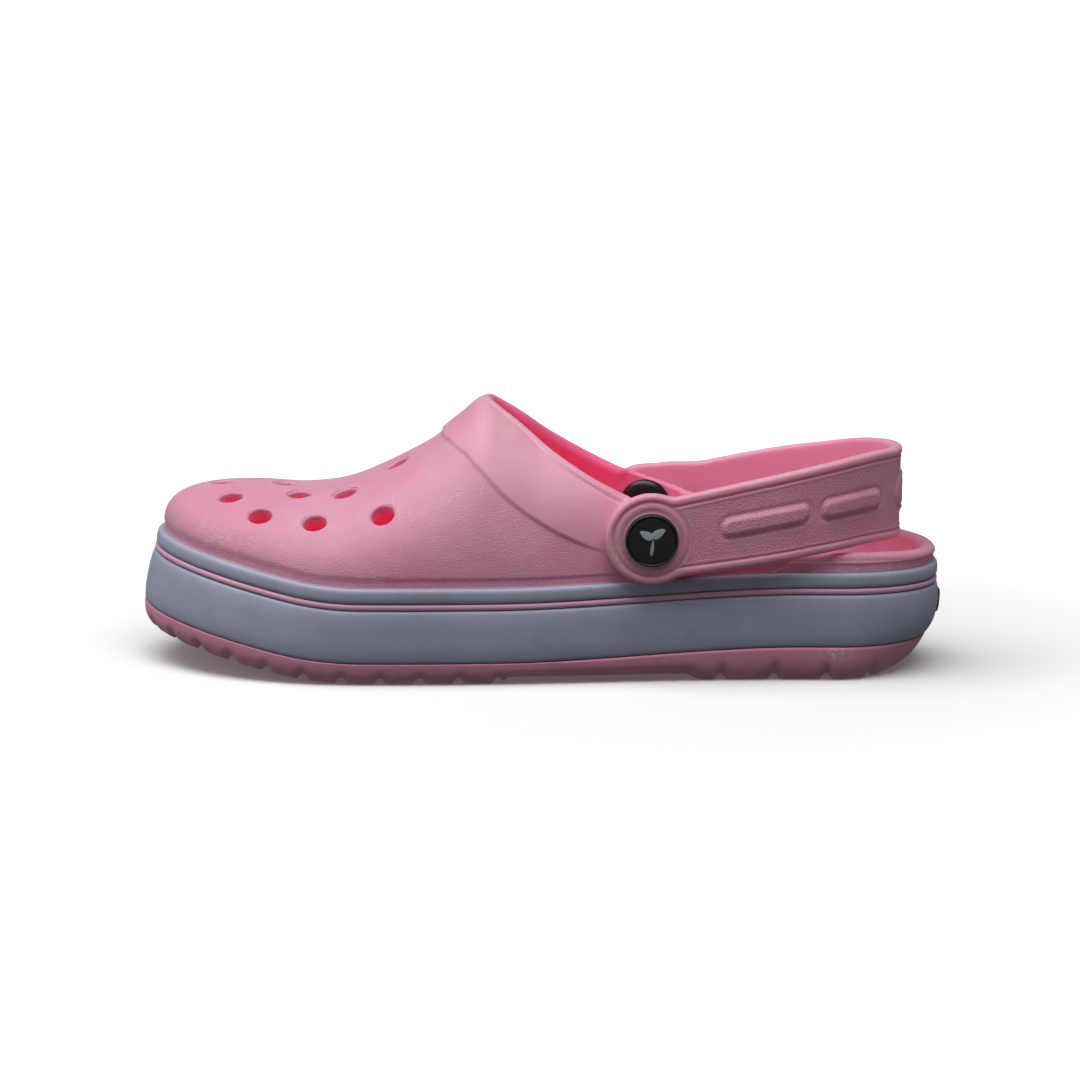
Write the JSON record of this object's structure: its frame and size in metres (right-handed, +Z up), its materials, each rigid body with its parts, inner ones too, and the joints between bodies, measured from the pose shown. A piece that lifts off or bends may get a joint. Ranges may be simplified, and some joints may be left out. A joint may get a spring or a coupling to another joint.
{
  "type": "foam clog",
  "caption": "Foam casual clog with a platform sole, a vented closed toe, an open heel and a heel strap that swings on two rivets.",
  "frame": {"origin": "bottom centre of the whole clog's box, on the surface that it stands on", "axes": "-X towards the toe, +X towards the heel, +Z up, -Y towards the outer side of the left foot"},
  "size_m": [0.273, 0.1028, 0.0891],
  "materials": {
    "outsole_foam": "matte moulded foam, pink",
    "midsole_foam": "matte moulded foam, lilac grey",
    "stripe_foam": "matte moulded foam, pink stripe",
    "upper_foam": "pink moulded foam with a fine leather grain",
    "strap_foam": "pink moulded foam, smooth rims and a grained field",
    "plaque_print": "dark printed film",
    "rivet_plastic": "black moulded plastic, semi gloss",
    "badge_resin": "black domed resin with a pale printed sprout"
  },
  "bodies": {
    "shoe": {"outsole": "outsole_foam", "midsole": "midsole_foam", "stripe_inlay": "stripe_foam", "upper_shell": "upper_foam", "heel_plaque": "plaque_print", "rivet_stud_lateral": "rivet_plastic", "rivet_badge_lateral": "badge_resin", "rivet_button_lateral": "rivet_plastic", "rivet_stud_medial": "rivet_plastic", "rivet_badge_medial": "badge_resin", "rivet_button_medial": "rivet_plastic"},
    "strap": {"heel_strap": "strap_foam"}
  },
  "joints": [
    {"name": "strap_swing", "type": "hinge", "parent": "shoe", "child": "strap", "pos_m": [0.03578, 0, 0.049], "axis": [0, -1, 0], "range_deg": [0, 130]}
  ]
}
